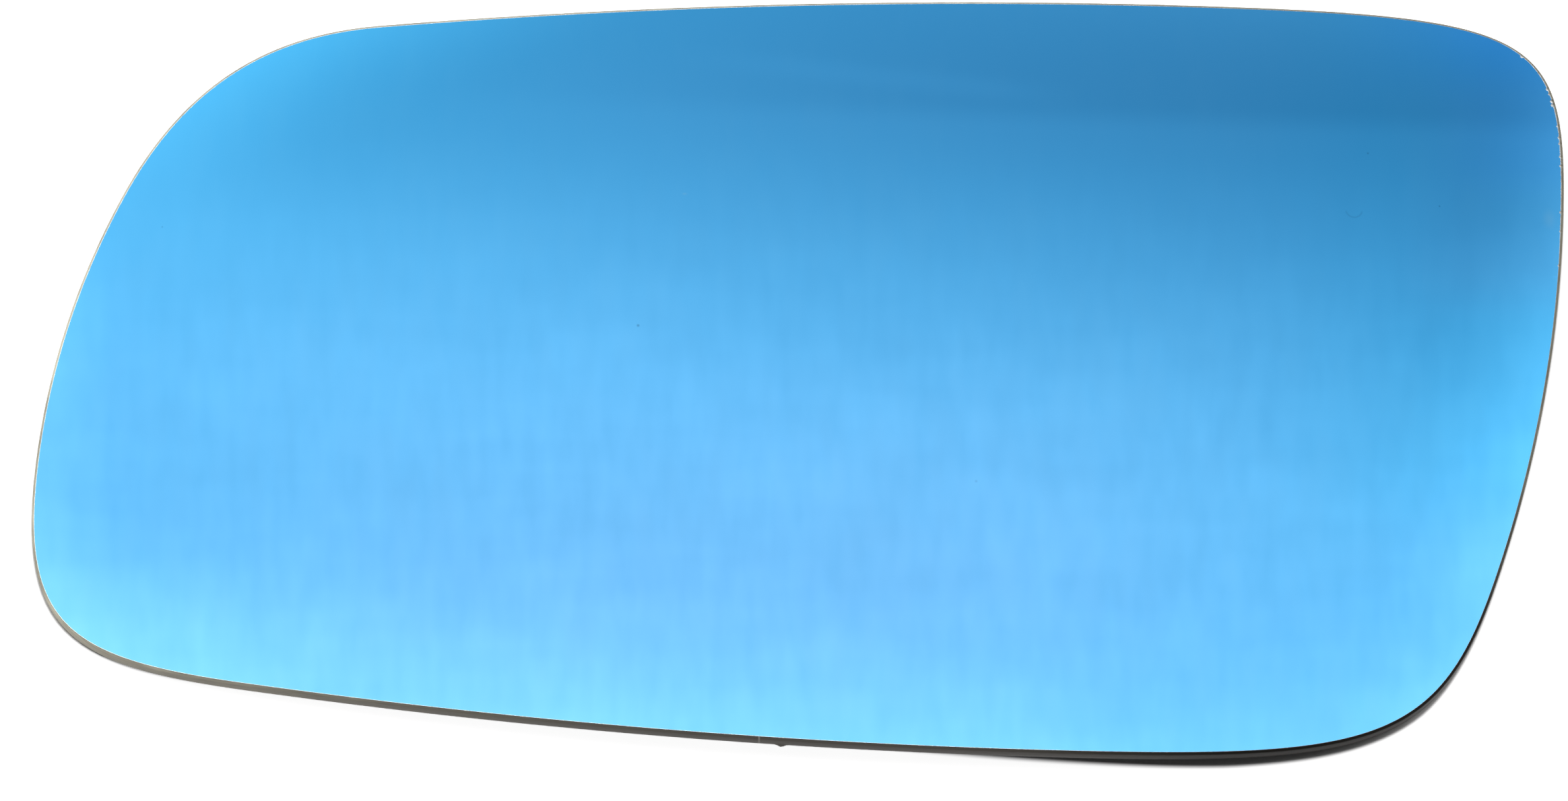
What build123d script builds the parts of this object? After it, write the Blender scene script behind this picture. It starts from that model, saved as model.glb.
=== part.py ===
"""Car door mirror glass: one bent pane of mirror glass with a ground edge, lying face up."""
import os
from math import asin, degrees

from build123d import *

# Driving dimensions, in millimetres

# Pane
glass_thickness = 2.0
bend_radius = 1260.0  # of the reflecting face, which bulges upwards
arris_radius = 0.3  # rounding ground along the front and the back rim

# Sharp corners of the outline, seen from the front: how far each lies from the drawing's centre lines
upper_left_out = 67.5
upper_left_up = 42.5
upper_right_out = 88.8
upper_right_up = 44.8
lower_right_out = 69.9
lower_right_down = 46.2
lower_left_out = 88.0
lower_left_down = 34.0

# Crown of each side: how far it bows out from the straight line between its sharp corners
top_crown = 2.8
right_crown = 6.6
bottom_crown = 4.7
left_crown = 8.7

# Rounded corners: how much of each neighbouring side the rounding takes up
upper_left_along_left = 24.0
upper_left_along_top = 17.0
upper_right_along_top = 36.0
upper_right_along_right = 21.0
lower_right_along_right = 22.0
lower_right_along_bottom = 36.0
lower_left_along_bottom = 24.0
lower_left_along_left = 24.0

# Fullness of each rounding: about 0.55 is a circular arc, and 1 draws it out to the sharp corner
upper_left_fullness = 0.71
upper_right_fullness = 0.91
lower_right_fullness = 0.87
lower_left_fullness = 0.86

# Worked out from the sizes above
upper_left = Vector(-upper_left_out, upper_left_up)
upper_right = Vector(upper_right_out, upper_right_up)
lower_right = Vector(lower_right_out, -lower_right_down)
lower_left = Vector(-lower_left_out, -lower_left_down)
largest_arris = 0.45 * glass_thickness
rim_rounding = min(arris_radius, largest_arris)


def rounded_corner(side_before, side_after, along_before, along_after, fullness):
    """Curve that leaves one side and joins the next one in line with both."""
    leave = 1 - along_before / side_before.length
    join = along_after / side_after.length
    start = side_before @ leave
    end = side_after @ join
    start_pull = start + (side_before % leave) * (fullness * along_before)
    end_pull = end - (side_after % join) * (fullness * along_after)
    return Bezier(start, start_pull, end_pull, end)


def outline_face():
    """Outline of the glass: four crowned sides, clockwise from the top, and the four corners between them."""
    top = SagittaArc(upper_left, upper_right, top_crown)
    right = SagittaArc(upper_right, lower_right, right_crown)
    bottom = SagittaArc(lower_right, lower_left, bottom_crown)
    left = SagittaArc(lower_left, upper_left, left_crown)
    upper_right_corner = rounded_corner(
        top, right, upper_right_along_top, upper_right_along_right, upper_right_fullness)
    lower_right_corner = rounded_corner(
        right, bottom, lower_right_along_right, lower_right_along_bottom, lower_right_fullness)
    lower_left_corner = rounded_corner(
        bottom, left, lower_left_along_bottom, lower_left_along_left, lower_left_fullness)
    upper_left_corner = rounded_corner(
        left, top, upper_left_along_left, upper_left_along_top, upper_left_fullness)
    return make_face([
        top.trim(upper_left_corner @ 1, upper_right_corner @ 0),
        upper_right_corner,
        right.trim(upper_right_corner @ 1, lower_right_corner @ 0),
        lower_right_corner,
        bottom.trim(lower_right_corner @ 1, lower_left_corner @ 0),
        lower_left_corner,
        left.trim(lower_left_corner @ 1, upper_left_corner @ 0),
        upper_left_corner,
    ])


def bent_blank(apex, reach):
    """Oversize pane bent to part of a sphere, with its face's highest point at the apex."""
    back_radius = bend_radius - glass_thickness
    half_angle = degrees(asin(reach / back_radius))
    face_line = CenterArc((0, 0), bend_radius, 90 - half_angle, 2 * half_angle)
    back_line = CenterArc((0, 0), back_radius, 90 - half_angle, 2 * half_angle)
    section = make_face([
        face_line,
        Line(face_line @ 1, back_line @ 1),
        back_line,
        Line(back_line @ 0, face_line @ 0),
    ])
    bend_centre = Vector(apex.X, apex.Y, -bend_radius)
    bend_axis = Axis(bend_centre, (0, 1, 0))
    upright = Plane(origin=bend_centre, x_dir=(0, 1, 0), z_dir=(1, 0, 0))
    first_section = (upright * section).rotate(bend_axis, -half_angle)
    return revolve(first_section, bend_axis, 2 * half_angle)


def mirror_glass():
    """Pane cut from the bent blank, with both rims of its edge rounded, set down on its lowest points."""
    outline = outline_face()
    # The bend's highest point is in the middle of the longest diagonal, so that both of its ends touch down
    apex = (upper_right + lower_left) / 2
    corners = (upper_left, upper_right, lower_right, lower_left)
    furthest_corner = max((corner - apex).length for corner in corners)
    largest_crown = max(top_crown, right_crown, bottom_crown, left_crown)
    blank = bent_blank(apex, furthest_corner + largest_crown)
    blank_depth = blank.bounding_box().size.Z
    # The cutting prism stands a glass thickness clear of the blank, above and below
    upper_prism = extrude(outline, amount=glass_thickness)
    lower_prism = extrude(outline, amount=blank_depth + glass_thickness, dir=(0, 0, -1))
    pane = ((upper_prism + lower_prism) & blank).solid()
    bent_faces = pane.faces().sort_by(SortBy.AREA)[-2:]
    pane = fillet(bent_faces.edges(), rim_rounding)
    box = pane.bounding_box()
    middle = box.center()
    return Pos(-middle.X, -middle.Y, -box.min.Z) * pane


glass = mirror_glass()
glass.label = "mirror_glass"

os.makedirs("parts", exist_ok=True)
export_step(glass, "parts/mirror_glass.step")

overall = glass.bounding_box().size
print(f"mirror_glass {overall.X:.2f} x {overall.Y:.2f} x {overall.Z:.2f} mm, {glass.volume / 1000:.2f} cm3")
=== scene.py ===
"""Looks of a car door mirror glass: one bent pane with a blue mirror film and a ground edge, face up."""
import logging
from dataclasses import dataclass, field
from enum import IntEnum
from math import cos, pi, radians, sin
from typing import Any, Protocol

import bpy
import numpy as np
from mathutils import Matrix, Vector
from mathutils.geometry import delaunay_2d_cdt


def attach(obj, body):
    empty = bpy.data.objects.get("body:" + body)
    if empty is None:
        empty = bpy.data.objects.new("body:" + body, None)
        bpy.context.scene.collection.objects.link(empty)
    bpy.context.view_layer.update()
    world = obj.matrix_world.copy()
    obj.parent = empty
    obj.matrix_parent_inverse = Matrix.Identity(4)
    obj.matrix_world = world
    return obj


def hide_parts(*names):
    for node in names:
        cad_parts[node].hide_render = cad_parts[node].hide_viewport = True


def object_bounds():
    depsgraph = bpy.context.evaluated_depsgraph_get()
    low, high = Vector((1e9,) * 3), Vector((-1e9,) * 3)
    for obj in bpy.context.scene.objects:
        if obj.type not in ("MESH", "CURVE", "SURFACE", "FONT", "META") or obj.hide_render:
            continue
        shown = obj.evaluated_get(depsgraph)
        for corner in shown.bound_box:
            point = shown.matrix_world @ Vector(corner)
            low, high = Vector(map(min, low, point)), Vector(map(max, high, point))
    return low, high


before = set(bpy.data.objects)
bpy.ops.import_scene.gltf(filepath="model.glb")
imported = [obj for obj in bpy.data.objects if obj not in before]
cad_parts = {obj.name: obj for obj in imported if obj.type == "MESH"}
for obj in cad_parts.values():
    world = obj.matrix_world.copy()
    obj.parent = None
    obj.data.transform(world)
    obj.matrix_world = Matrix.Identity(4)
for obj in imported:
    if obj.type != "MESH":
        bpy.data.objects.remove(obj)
cad_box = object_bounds()

log = logging.getLogger("mirror_glass")

MM = 0.001  # one millimetre in metres; the sizes below are in millimetres unless they say otherwise
GLASS_IOR = 1.52  # refractive index of soda-lime glass
NOISE_MIDDLE = 0.5  # middle of the range of a noise pattern
KEEP_INSIDE = 1  # asks for the triangles inside the border and no others
SMOOTH = {"interpolation_type": "SMOOTHSTEP"}  # setting of a range that rises smoothly
COLOURS = {"data_type": "RGBA"}  # setting of a mix of two colours
FIRST = 6  # its input for the first colour
SECOND = 7  # its input for the second colour
MIXED = 2  # its output


def linear(hex_colour: str) -> tuple[float, float, float, float]:
    """Turns an sRGB hex colour into linear light.

    Args:
        hex_colour: Colour such as "#69C8FA".

    Returns:
        Red, green, blue and an alpha of 1.
    """
    shares = [int(hex_colour[i:i + 2], 16) / 255 for i in (1, 3, 5)]
    red, green, blue = [c / 12.92 if c <= 0.04045 else ((c + 0.055) / 1.055) ** 2.4 for c in shares]
    return red, green, blue, 1.0


def per_metre(size: float) -> float:
    """Scale of a pattern whose marks are this many millimetres across."""
    return 1 / (size * MM)


def add_node(
    tree: bpy.types.NodeTree,
    kind: str,
    settings: dict[str, Any] | None = None,
    inputs: dict[str | int, Any] | None = None,
) -> bpy.types.Node:
    """Adds one node, with its settings and what goes into it.

    Args:
        tree: Node tree that gets the node.
        kind: Kind of shader node, such as "Math".
        settings: Properties of the node, by name.
        inputs: Value or output socket for each input, by name or number.

    Returns:
        The new node.
    """
    node = tree.nodes.new("ShaderNode" + kind)
    for name, value in (settings or {}).items():
        setattr(node, name, value)
    for name, value in (inputs or {}).items():
        if isinstance(value, bpy.types.NodeSocket):
            tree.links.new(value, node.inputs[name])
        else:
            node.inputs[name].default_value = value
    return node


def new_material(name: str) -> tuple[bpy.types.Material, bpy.types.NodeTree, bpy.types.NodeSocket]:
    """Makes a material with no finish yet.

    Args:
        name: Name of the real material.

    Returns:
        The material, its node tree, and the place on the piece in metres.
    """
    material = bpy.data.materials.new(name)
    material.use_nodes = True
    material.node_tree.nodes.clear()
    place = add_node(material.node_tree, "TexCoord").outputs["Object"]
    return material, material.node_tree, place


def smooth_step(value: np.ndarray, start: float, end: float) -> np.ndarray:
    """Rises smoothly from 0 to 1.

    Args:
        value: Numbers to map.
        start: Value at which the rise starts.
        end: Value at which it ends.

    Returns:
        Numbers from 0 to 1.
    """
    share = np.clip((value - start) / (end - start), 0, 1)
    return share * share * (3 - 2 * share)


class Finish(Protocol):
    """What the surface of a piece is made of."""

    def build(self) -> bpy.types.Material:
        """Makes the material."""


@dataclass(frozen=True)
class DustSpeck:
    """One speck of dust on the face."""

    x: float
    y: float
    width: float
    cover: float


@dataclass(frozen=True)
class Smear:
    """One pale smear on the face."""

    x: float
    y: float
    length: float
    width: float
    cover: float


@dataclass(frozen=True)
class BlueMirrorFilm:
    """Blue chromium mirror film, sputtered on polished bent glass.

    It mirrors like a metal and tints what it mirrors blue. A thin film of handling haze softens the mirror a
    little here and there, and a few specks of dust, a bit of lint and two small smears lie on it.
    """

    colour: str = "#69C8FA"
    hazy_colour: str = "#6CC9FA"
    dust_colour: str = "#1E3B4E"
    smear_colour: str = "#9AD2EE"
    clear_roughness: float = 0.015
    hazy_roughness: float = 0.03
    haze_patch: float = 22.0
    haze_from: float = 0.12
    haze_full: float = 0.5
    wipe_mark: float = 2.4
    wipe_stretch: float = 3.0
    ripple: float = 34.0
    ripple_height: float = 0.0006
    specks: tuple[DustSpeck, ...] = (
        DustSpeck(74.3, 20.9, 0.34, 0.35),
        DustSpeck(-75.4, 18.3, 0.34, 0.25),
        DustSpeck(-19.5, 5.0, 0.55, 0.40),
        DustSpeck(19.5, -14.2, 0.50, 0.20),
        DustSpeck(66.1, 27.5, 0.34, 0.40),
    )
    lint_x: float = 64.2
    lint_y: float = 20.2
    lint_bend: float = 0.95
    lint_fade: float = 0.4  # share of its bend over which its ends fade out
    lint_width: float = 0.18
    lint_cover: float = 0.14
    smears: tuple[Smear, ...] = (
        Smear(-14.2, 21.6, 0.9, 0.45, 0.35),
        Smear(87.2, 19.6, 2.2, 3.4, 0.28),
    )

    def build(self) -> bpy.types.Material:
        """Makes the material.

        Returns:
            The material.
        """
        material, tree, place = new_material("BlueMirrorFilm")
        haze = self._haze(tree, place)
        dust = self._dust(tree, place)
        smear = self._smears(tree, place)
        tinted = add_node(tree, "Mix", COLOURS, {
            "Factor": haze, FIRST: linear(self.colour), SECOND: linear(self.hazy_colour)})
        smeared = add_node(tree, "Mix", COLOURS, {
            "Factor": smear, FIRST: tinted.outputs[MIXED], SECOND: linear(self.smear_colour)})
        dusted = add_node(tree, "Mix", COLOURS, {
            "Factor": dust, FIRST: smeared.outputs[MIXED], SECOND: linear(self.dust_colour)})
        rubbed = add_node(tree, "MapRange", None, {
            "Value": haze, "To Min": self.clear_roughness, "To Max": self.hazy_roughness})
        wave = add_node(tree, "TexNoise", None, {
            "Vector": place, "Scale": per_metre(self.ripple), "Detail": 0.0})
        bump = add_node(tree, "Bump", None, {
            "Height": wave.outputs[0], "Distance": self.ripple_height * MM})
        shader = add_node(tree, "BsdfPrincipled", None, {
            "Base Color": dusted.outputs[MIXED], "Metallic": 1.0, "Roughness": rubbed.outputs[0],
            "Normal": bump.outputs[0]})
        add_node(tree, "OutputMaterial", None, {"Surface": shader.outputs[0]})
        return material

    def _haze(self, tree: bpy.types.NodeTree, place: bpy.types.NodeSocket) -> bpy.types.NodeSocket:
        """Adds patches of handling haze, crossed by long faint wipe marks.

        Args:
            tree: Node tree of the material.
            place: Place on the piece, in metres.

        Returns:
            Share of haze.
        """
        patches = add_node(tree, "TexNoise", None, {
            "Vector": place, "Scale": per_metre(self.haze_patch), "Detail": 3.0, "Roughness": 0.55})
        drawn_out = add_node(tree, "VectorMath", {"operation": "MULTIPLY"}, {
            0: place, 1: (1.0, 1 / self.wipe_stretch, 1.0)})
        wiped = add_node(tree, "TexNoise", None, {
            "Vector": drawn_out.outputs[0], "Scale": per_metre(self.wipe_mark), "Detail": 2.0})
        both = add_node(tree, "Math", {"operation": "MULTIPLY"}, {
            0: patches.outputs[0], 1: wiped.outputs[0]})
        share = add_node(tree, "MapRange", SMOOTH, {
            "Value": both.outputs[0], "From Min": self.haze_from, "From Max": self.haze_full})
        return share.outputs[0]

    def _dust(self, tree: bpy.types.NodeTree, place: bpy.types.NodeSocket) -> bpy.types.NodeSocket:
        """Adds the specks of dust and the bit of lint, which lies in a short arc.

        Args:
            tree: Node tree of the material.
            place: Place on the piece, in metres.

        Returns:
            Share that dust covers.
        """
        flat = add_node(tree, "VectorMath", {"operation": "MULTIPLY"}, {0: place, 1: (1, 1, 0)})
        middle = (self.lint_x * MM, self.lint_y * MM, 0)
        reach = add_node(tree, "VectorMath", {"operation": "DISTANCE"}, {
            0: flat.outputs[0], 1: middle})
        off_arc = add_node(tree, "Math", {"operation": "SUBTRACT"}, {
            0: reach.outputs["Value"], 1: self.lint_bend * MM})
        thread = add_node(tree, "Math", {"operation": "ABSOLUTE"}, {0: off_arc.outputs[0]})
        line = add_node(tree, "MapRange", SMOOTH, {
            "Value": thread.outputs[0], "From Min": self.lint_width * MM, "From Max": 0.0,
            "To Max": self.lint_cover})
        height = add_node(tree, "SeparateXYZ", None, {0: place})
        lower_half = add_node(tree, "MapRange", SMOOTH, {
            "Value": height.outputs["Y"], "From Min": self.lint_y * MM,
            "From Max": (self.lint_y - self.lint_fade * self.lint_bend) * MM})
        cover = add_node(tree, "Math", {"operation": "MULTIPLY"}, {
            0: line.outputs[0], 1: lower_half.outputs[0]})
        for speck in self.specks:
            away = add_node(tree, "VectorMath", {"operation": "DISTANCE"}, {
                0: flat.outputs[0], 1: (speck.x * MM, speck.y * MM, 0)})
            spot = add_node(tree, "MapRange", SMOOTH, {
                "Value": away.outputs["Value"], "From Min": speck.width / 2 * MM, "From Max": 0.0,
                "To Max": speck.cover})
            cover = add_node(tree, "Math", {"operation": "MAXIMUM"}, {
                0: cover.outputs[0], 1: spot.outputs[0]})
        return cover.outputs[0]

    def _smears(self, tree: bpy.types.NodeTree, place: bpy.types.NodeSocket) -> bpy.types.NodeSocket:
        """Adds the small pale smears.

        Args:
            tree: Node tree of the material.
            place: Place on the piece, in metres.

        Returns:
            Share that the smears cover.
        """
        cover: Any = 0.0
        for smear in self.smears:
            from_middle = add_node(tree, "VectorMath", {"operation": "SUBTRACT"}, {
                0: place, 1: (smear.x * MM, smear.y * MM, 0)})
            squared_up = add_node(tree, "VectorMath", {"operation": "MULTIPLY"}, {
                0: from_middle.outputs[0], 1: (2 / (smear.length * MM), 2 / (smear.width * MM), 0)})
            reach = add_node(tree, "VectorMath", {"operation": "LENGTH"}, {0: squared_up.outputs[0]})
            share = add_node(tree, "MapRange", SMOOTH, {
                "Value": reach.outputs["Value"], "From Min": 1.0, "From Max": 0.0, "To Max": smear.cover})
            cover = add_node(tree, "Math", {"operation": "MAXIMUM"}, {
                0: cover, 1: share.outputs[0]}).outputs[0]
        return cover


@dataclass(frozen=True)
class RoughAndLitRise:
    """Rise of roughness and painted light across the piece: its heading in plan, its start and end, and its
    power.
    """

    heading_x: float
    heading_y: float
    start: float
    end: float
    power: float


@dataclass(frozen=True)
class GroundGlass:
    """Edge of the glass, ground with a wet wheel.

    It is dark and dull, because light goes into the glass and doesn't come back. Towards the upper left
    and along the right side it gets rougher, and painted light makes it paler; towards the lower right
    painted shade keeps it darker. Fine lines run along the rim, and one pale nick crosses it.
    """

    # The dark colour stands partly for painted shade, the pale one for painted light
    smooth_and_shaded_colour: str = "#2B2926"
    frosted_and_lit_colour: str = "#8C887A"
    nick_colour: str = "#B4B1A8"
    smooth_roughness: float = 0.35
    frosted_roughness: float = 0.55
    specular: float = 0.03
    # Rises of roughness and of painted light over the edge
    rough_and_lit_rises: tuple[RoughAndLitRise, ...] = (
        RoughAndLitRise(-0.45, 0.90, -60.0, 60.0, 2.0),
        RoughAndLitRise(0.50, 0.87, 8.0, 44.0, 1.0),
    )
    unevenness: float = 0.35
    dullest_up_to: float = 0.1
    palest_from: float = 0.4
    grit: float = 0.16  # drawn coarser than the real 0.05 mm, which is too fine to show
    grit_height: float = 0.012
    wheel_line: float = 0.22
    wheel_stretch: float = 14.0
    patch: float = 6.0
    nick_x: float = -5.4
    nick_width: float = 0.30
    nick_cover: float = 0.12

    def build(self) -> bpy.types.Material:
        """Makes the material.

        Returns:
            The material.
        """
        material, tree, place = new_material("GroundGlass")
        drawn_out = add_node(tree, "VectorMath", {"operation": "MULTIPLY"}, {
            0: place, 1: (1 / self.wheel_stretch, 1 / self.wheel_stretch, 1.0)})
        lines = add_node(tree, "TexNoise", None, {
            "Vector": drawn_out.outputs[0], "Scale": per_metre(self.wheel_line), "Detail": 2.0})
        grit = add_node(tree, "TexNoise", None, {
            "Vector": place, "Scale": per_metre(self.grit), "Detail": 2.0, "Roughness": 0.6})
        rough_and_lit = self._roughness_and_painted_light(tree, place, lines.outputs[0])
        # Paler with painted light towards the upper left and the right side, darker with painted shade at
        # the lower right
        colour = add_node(tree, "Mix", COLOURS, {
            "Factor": rough_and_lit, FIRST: linear(self.smooth_and_shaded_colour), SECOND: linear(self.frosted_and_lit_colour)})
        nicked = add_node(tree, "Mix", COLOURS, {
            "Factor": self._nick(tree, place), FIRST: colour.outputs[MIXED],
            SECOND: linear(self.nick_colour)})
        rough = add_node(tree, "MapRange", None, {
            "Value": rough_and_lit, "To Min": self.smooth_roughness, "To Max": self.frosted_roughness})
        relief = add_node(tree, "Math", {"operation": "ADD"}, {
            0: grit.outputs[0], 1: lines.outputs[0]})
        bump = add_node(tree, "Bump", None, {
            "Height": relief.outputs[0], "Distance": self.grit_height * MM})
        shader = add_node(tree, "BsdfPrincipled", None, {
            "Base Color": nicked.outputs[MIXED], "Roughness": rough.outputs[0], "IOR": GLASS_IOR,
            "Specular IOR Level": self.specular, "Normal": bump.outputs[0]})
        add_node(tree, "OutputMaterial", None, {"Surface": shader.outputs[0]})
        return material

    def _roughness_and_painted_light(
        self,
        tree: bpy.types.NodeTree,
        place: bpy.types.NodeSocket,
        lines: bpy.types.NodeSocket,
    ) -> bpy.types.NodeSocket:
        """Adds roughness and painted light, which grow towards the upper left and along the right side,
        unevenly.

        Args:
            tree: Node tree of the material.
            place: Place on the piece, in metres.
            lines: Pattern of the wheel's lines.

        Returns:
            Share of roughness and painted light.
        """
        growth: Any = 0.0
        for rough_and_lit in self.rough_and_lit_rises:
            across = add_node(tree, "VectorMath", {"operation": "DOT_PRODUCT"}, {
                0: place, 1: (rough_and_lit.heading_x, rough_and_lit.heading_y, 0)})
            rise = add_node(tree, "MapRange", SMOOTH, {
                "Value": across.outputs["Value"], "From Min": rough_and_lit.start * MM,
                "From Max": rough_and_lit.end * MM})
            share = add_node(tree, "Math", {"operation": "POWER"}, {
                0: rise.outputs[0], 1: rough_and_lit.power})
            growth = add_node(tree, "Math", {"operation": "MAXIMUM"}, {
                0: growth, 1: share.outputs[0]}).outputs[0]
        patches = add_node(tree, "TexNoise", None, {
            "Vector": place, "Scale": per_metre(self.patch), "Detail": 2.0})
        uneven = add_node(tree, "Math", {"operation": "MULTIPLY"}, {0: patches.outputs[0], 1: lines})
        gain = add_node(tree, "MapRange", None, {
            "Value": uneven.outputs[0], "From Min": self.dullest_up_to, "From Max": self.palest_from,
            "To Min": 1 - self.unevenness, "To Max": 1 + self.unevenness})
        return add_node(tree, "Math", {"operation": "MULTIPLY", "use_clamp": True}, {
            0: growth, 1: gain.outputs[0]}).outputs[0]

    def _nick(self, tree: bpy.types.NodeTree, place: bpy.types.NodeSocket) -> bpy.types.NodeSocket:
        """Adds one pale upright scratch across the edge along the bottom.

        Args:
            tree: Node tree of the material.
            place: Place on the piece, in metres.

        Returns:
            Share that the scratch covers.
        """
        axes = add_node(tree, "SeparateXYZ", None, {0: place})
        aside = add_node(tree, "Math", {"operation": "SUBTRACT"}, {
            0: axes.outputs["X"], 1: self.nick_x * MM})
        off = add_node(tree, "Math", {"operation": "ABSOLUTE"}, {0: aside.outputs[0]})
        line = add_node(tree, "MapRange", SMOOTH, {
            "Value": off.outputs[0], "From Min": self.nick_width / 2 * MM, "From Max": 0.0,
            "To Max": self.nick_cover})
        in_front = add_node(tree, "Math", {"operation": "LESS_THAN"}, {0: axes.outputs["Y"], 1: 0.0})
        return add_node(tree, "Math", {"operation": "MULTIPLY"}, {
            0: line.outputs[0], 1: in_front.outputs[0]}).outputs[0]


@dataclass(frozen=True)
class FlakedGlass:
    """Bare glass where the film and a flake of the rim have chipped off.

    Its small broken faces scatter the light, so they look white and sparkle.
    """

    colour: str = "#F1F5F6"
    dull_colour: str = "#B9C2C4"
    roughness: float = 0.22
    facet: float = 0.25
    facet_height: float = 0.05

    def build(self) -> bpy.types.Material:
        """Makes the material.

        Returns:
            The material.
        """
        material, tree, place = new_material("FlakedGlass")
        facets = add_node(tree, "TexVoronoi", None, {
            "Vector": place, "Scale": per_metre(self.facet)})
        tone = add_node(tree, "SeparateXYZ", None, {0: facets.outputs["Color"]})
        colour = add_node(tree, "Mix", COLOURS, {
            "Factor": tone.outputs["X"], FIRST: linear(self.dull_colour), SECOND: linear(self.colour)})
        bump = add_node(tree, "Bump", None, {
            "Height": facets.outputs["Distance"], "Distance": self.facet_height * MM})
        shader = add_node(tree, "BsdfPrincipled", None, {
            "Base Color": colour.outputs[MIXED], "Roughness": self.roughness, "IOR": GLASS_IOR,
            "Normal": bump.outputs[0]})
        add_node(tree, "OutputMaterial", None, {"Surface": shader.outputs[0]})
        return material


@dataclass(frozen=True)
class BackLacquer:
    """Grey protective lacquer, curtain-coated on the back of the glass.

    It is dull, with a faint orange-peel texture and thinner, darker places.
    """

    colour: str = "#5B5E61"
    thin_colour: str = "#484B4E"
    roughness: float = 0.55
    thin_roughness: float = 0.42
    peel: float = 1.4
    peel_height: float = 0.02
    patch: float = 18.0
    thin_up_to: float = 0.3
    full_from: float = 0.7

    def build(self) -> bpy.types.Material:
        """Makes the material.

        Returns:
            The material.
        """
        material, tree, place = new_material("BackLacquer")
        patches = add_node(tree, "TexNoise", None, {
            "Vector": place, "Scale": per_metre(self.patch), "Detail": 4.0, "Roughness": 0.6})
        share = add_node(tree, "MapRange", SMOOTH, {
            "Value": patches.outputs[0], "From Min": self.thin_up_to, "From Max": self.full_from})
        colour = add_node(tree, "Mix", COLOURS, {
            "Factor": share.outputs[0], FIRST: linear(self.thin_colour), SECOND: linear(self.colour)})
        rough = add_node(tree, "MapRange", None, {
            "Value": share.outputs[0], "To Min": self.thin_roughness, "To Max": self.roughness})
        peel = add_node(tree, "TexNoise", None, {
            "Vector": place, "Scale": per_metre(self.peel), "Detail": 1.0})
        bump = add_node(tree, "Bump", None, {
            "Height": peel.outputs[0], "Distance": self.peel_height * MM})
        shader = add_node(tree, "BsdfPrincipled", None, {
            "Base Color": colour.outputs[MIXED], "Roughness": rough.outputs[0], "Normal": bump.outputs[0]})
        add_node(tree, "OutputMaterial", None, {"Surface": shader.outputs[0]})
        return material


@dataclass(frozen=True)
class WhiteFloor:
    """White matt board.

    It takes the soft shade of what lies on it. Out in the open it glows white where the camera, a
    mirror or glass looks at it. Close under the glass the glow fades out by how open the sky is above,
    which paints a dark shade along the rim.
    """

    colour: str = "#F9F9F7"
    lift: float = 0.93
    openness: str = "openness"
    shaded_openness: float = 0.52
    clear_openness: float = 0.61
    grain: float = 0.8
    grain_height: float = 0.01

    def build(self) -> bpy.types.Material:
        """Makes the material.

        Returns:
            The material.
        """
        material, tree, place = new_material("WhiteFloor")
        grain = add_node(tree, "TexNoise", None, {
            "Vector": place, "Scale": per_metre(self.grain), "Detail": 2.0})
        bump = add_node(tree, "Bump", None, {
            "Height": grain.outputs[0], "Distance": self.grain_height * MM})
        openness = add_node(tree, "Attribute", {"attribute_name": self.openness})
        # The glow fades out where little sky shows, which paints a shade along the rim
        clear = add_node(tree, "MapRange", SMOOTH, {
            "Value": openness.outputs["Fac"], "From Min": self.shaded_openness,
            "From Max": self.clear_openness})
        matt = add_node(tree, "BsdfDiffuse", None, {
            "Color": linear(self.colour), "Normal": bump.outputs[0]})
        rays = add_node(tree, "LightPath")
        seen = add_node(tree, "Math", {"operation": "MAXIMUM"}, {
            0: rays.outputs["Is Camera Ray"], 1: rays.outputs["Is Glossy Ray"]})
        looked_at = add_node(tree, "Math", {"operation": "MAXIMUM"}, {
            0: seen.outputs[0], 1: rays.outputs["Is Transmission Ray"]})
        lift = add_node(tree, "Math", {"operation": "MULTIPLY"}, {0: clear.outputs[0], 1: self.lift})
        strength = add_node(tree, "Math", {"operation": "MULTIPLY"}, {
            0: looked_at.outputs[0], 1: lift.outputs[0]})
        glow = add_node(tree, "Emission", None, {"Strength": strength.outputs[0]})
        both = add_node(tree, "AddShader", None, {0: matt.outputs[0], 1: glow.outputs[0]})
        add_node(tree, "OutputMaterial", None, {"Surface": both.outputs[0]})
        return material


@dataclass(frozen=True)
class Corner:
    """One corner of the outline: where its sides would meet, and the rounding that takes its place."""

    x: float
    y: float
    along_before: float
    along_after: float
    fullness: float

    def point(self) -> np.ndarray:
        """Place where the two sides would meet."""
        return np.array([self.x, self.y])


@dataclass(frozen=True)
class CrownedSide:
    """One side of the outline: an arc that bows outwards, travelled clockwise."""

    start: np.ndarray
    end: np.ndarray
    crown: float

    def radius(self) -> float:
        """Radius of the arc."""
        chord = np.linalg.norm(self.end - self.start)
        return (chord ** 2 / 4 + self.crown ** 2) / (2 * self.crown)

    def length(self) -> float:
        """Length along the arc."""
        chord = np.linalg.norm(self.end - self.start)
        return 2 * self.radius() * np.arcsin(chord / 2 / self.radius())

    def at(self, distance: np.ndarray) -> tuple[np.ndarray, np.ndarray]:
        """Finds places along the side.

        Args:
            distance: How far along the arc each place is.

        Returns:
            The points, and the direction of travel at each.
        """
        radius = self.radius()
        chord = self.end - self.start
        outward = np.array([-chord[1], chord[0]]) / np.linalg.norm(chord)
        centre = (self.start + self.end) / 2 + outward * (self.crown - radius)
        first = np.arctan2(*(self.start - centre)[::-1])
        angle = first - np.asarray(distance) / radius
        points = centre + radius * np.stack([np.cos(angle), np.sin(angle)], -1)
        travel = np.stack([np.sin(angle), -np.cos(angle)], -1)
        return points, travel


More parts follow.
